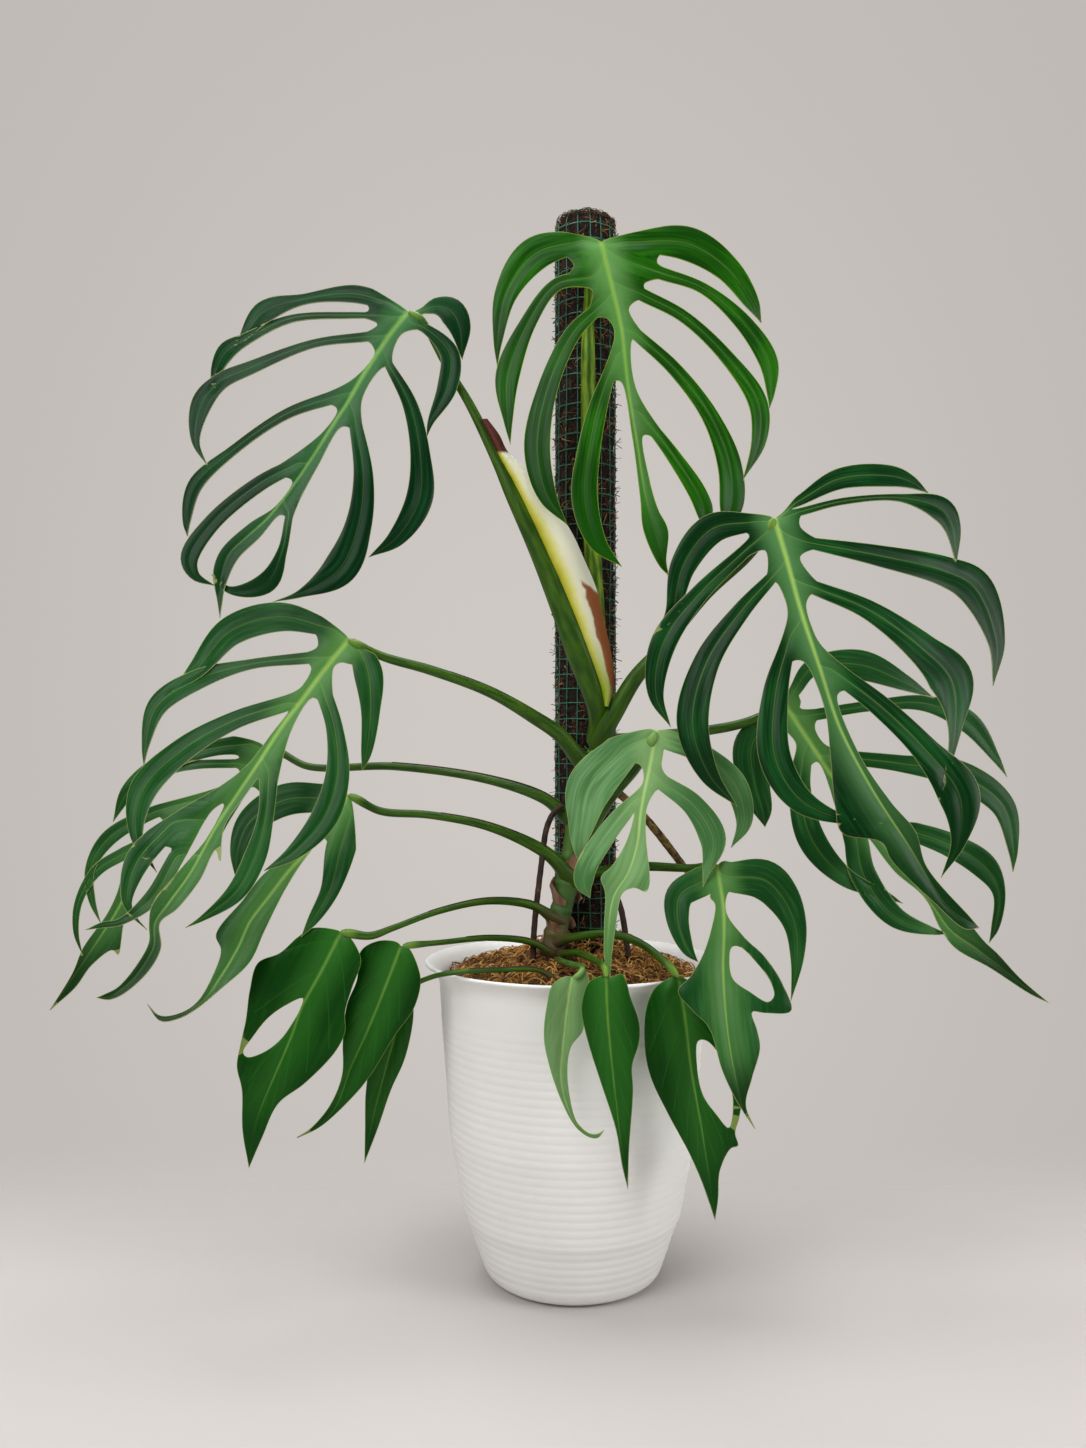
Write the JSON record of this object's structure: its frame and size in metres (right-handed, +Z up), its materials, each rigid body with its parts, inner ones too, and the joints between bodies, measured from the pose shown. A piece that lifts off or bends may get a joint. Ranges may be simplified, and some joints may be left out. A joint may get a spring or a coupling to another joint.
{
  "type": "potted monstera",
  "caption": "Potted Burle Marx Flame monstera with deeply cut hanging leaves on a netted moss pole in a tall ribbed planter.",
  "frame": {"origin": "centre of the pot's flat base, on the floor", "axes": "+Z up along the pot's axis, +X to the viewer's right, +Y away from the viewer towards the pole's back"},
  "size_m": [0.9623, 0.3254, 1.028],
  "materials": {
    "pot": "matt white, finely ribbed",
    "potting_mix": "loose coir fibre and bark",
    "pole_fill": "rough coir fibre",
    "pole_net": "satin green wire net",
    "stem": "smooth green with papery scars",
    "root": "dull, rough",
    "leaf": "waxy satin",
    "leaf_pale": "waxy satin"
  },
  "bodies": {
    "root": {"pot": "pot", "potting_mix": "potting_mix", "pole_fill": "pole_fill", "pole_net": "pole_net", "stem": "stem", "leaf_upper_left": "leaf", "leaf_top": "leaf", "leaf_right": "leaf", "leaf_left_middle": "leaf", "leaf_left_behind": "leaf", "leaf_left_inner": "leaf", "leaf_lower_left_outer": "leaf", "leaf_lower_left_middle": "leaf", "leaf_lower_left_inner": "leaf", "leaf_small_pale": "leaf_pale", "leaf_small_dark": "leaf", "leaf_lower_right": "leaf", "leaf_lower_right_upper": "leaf", "leaf_centre_pale": "leaf_pale", "leaf_right_behind": "leaf", "root_left": "root", "root_right": "root", "root_slanting": "root"}
  },
  "joints": []
}
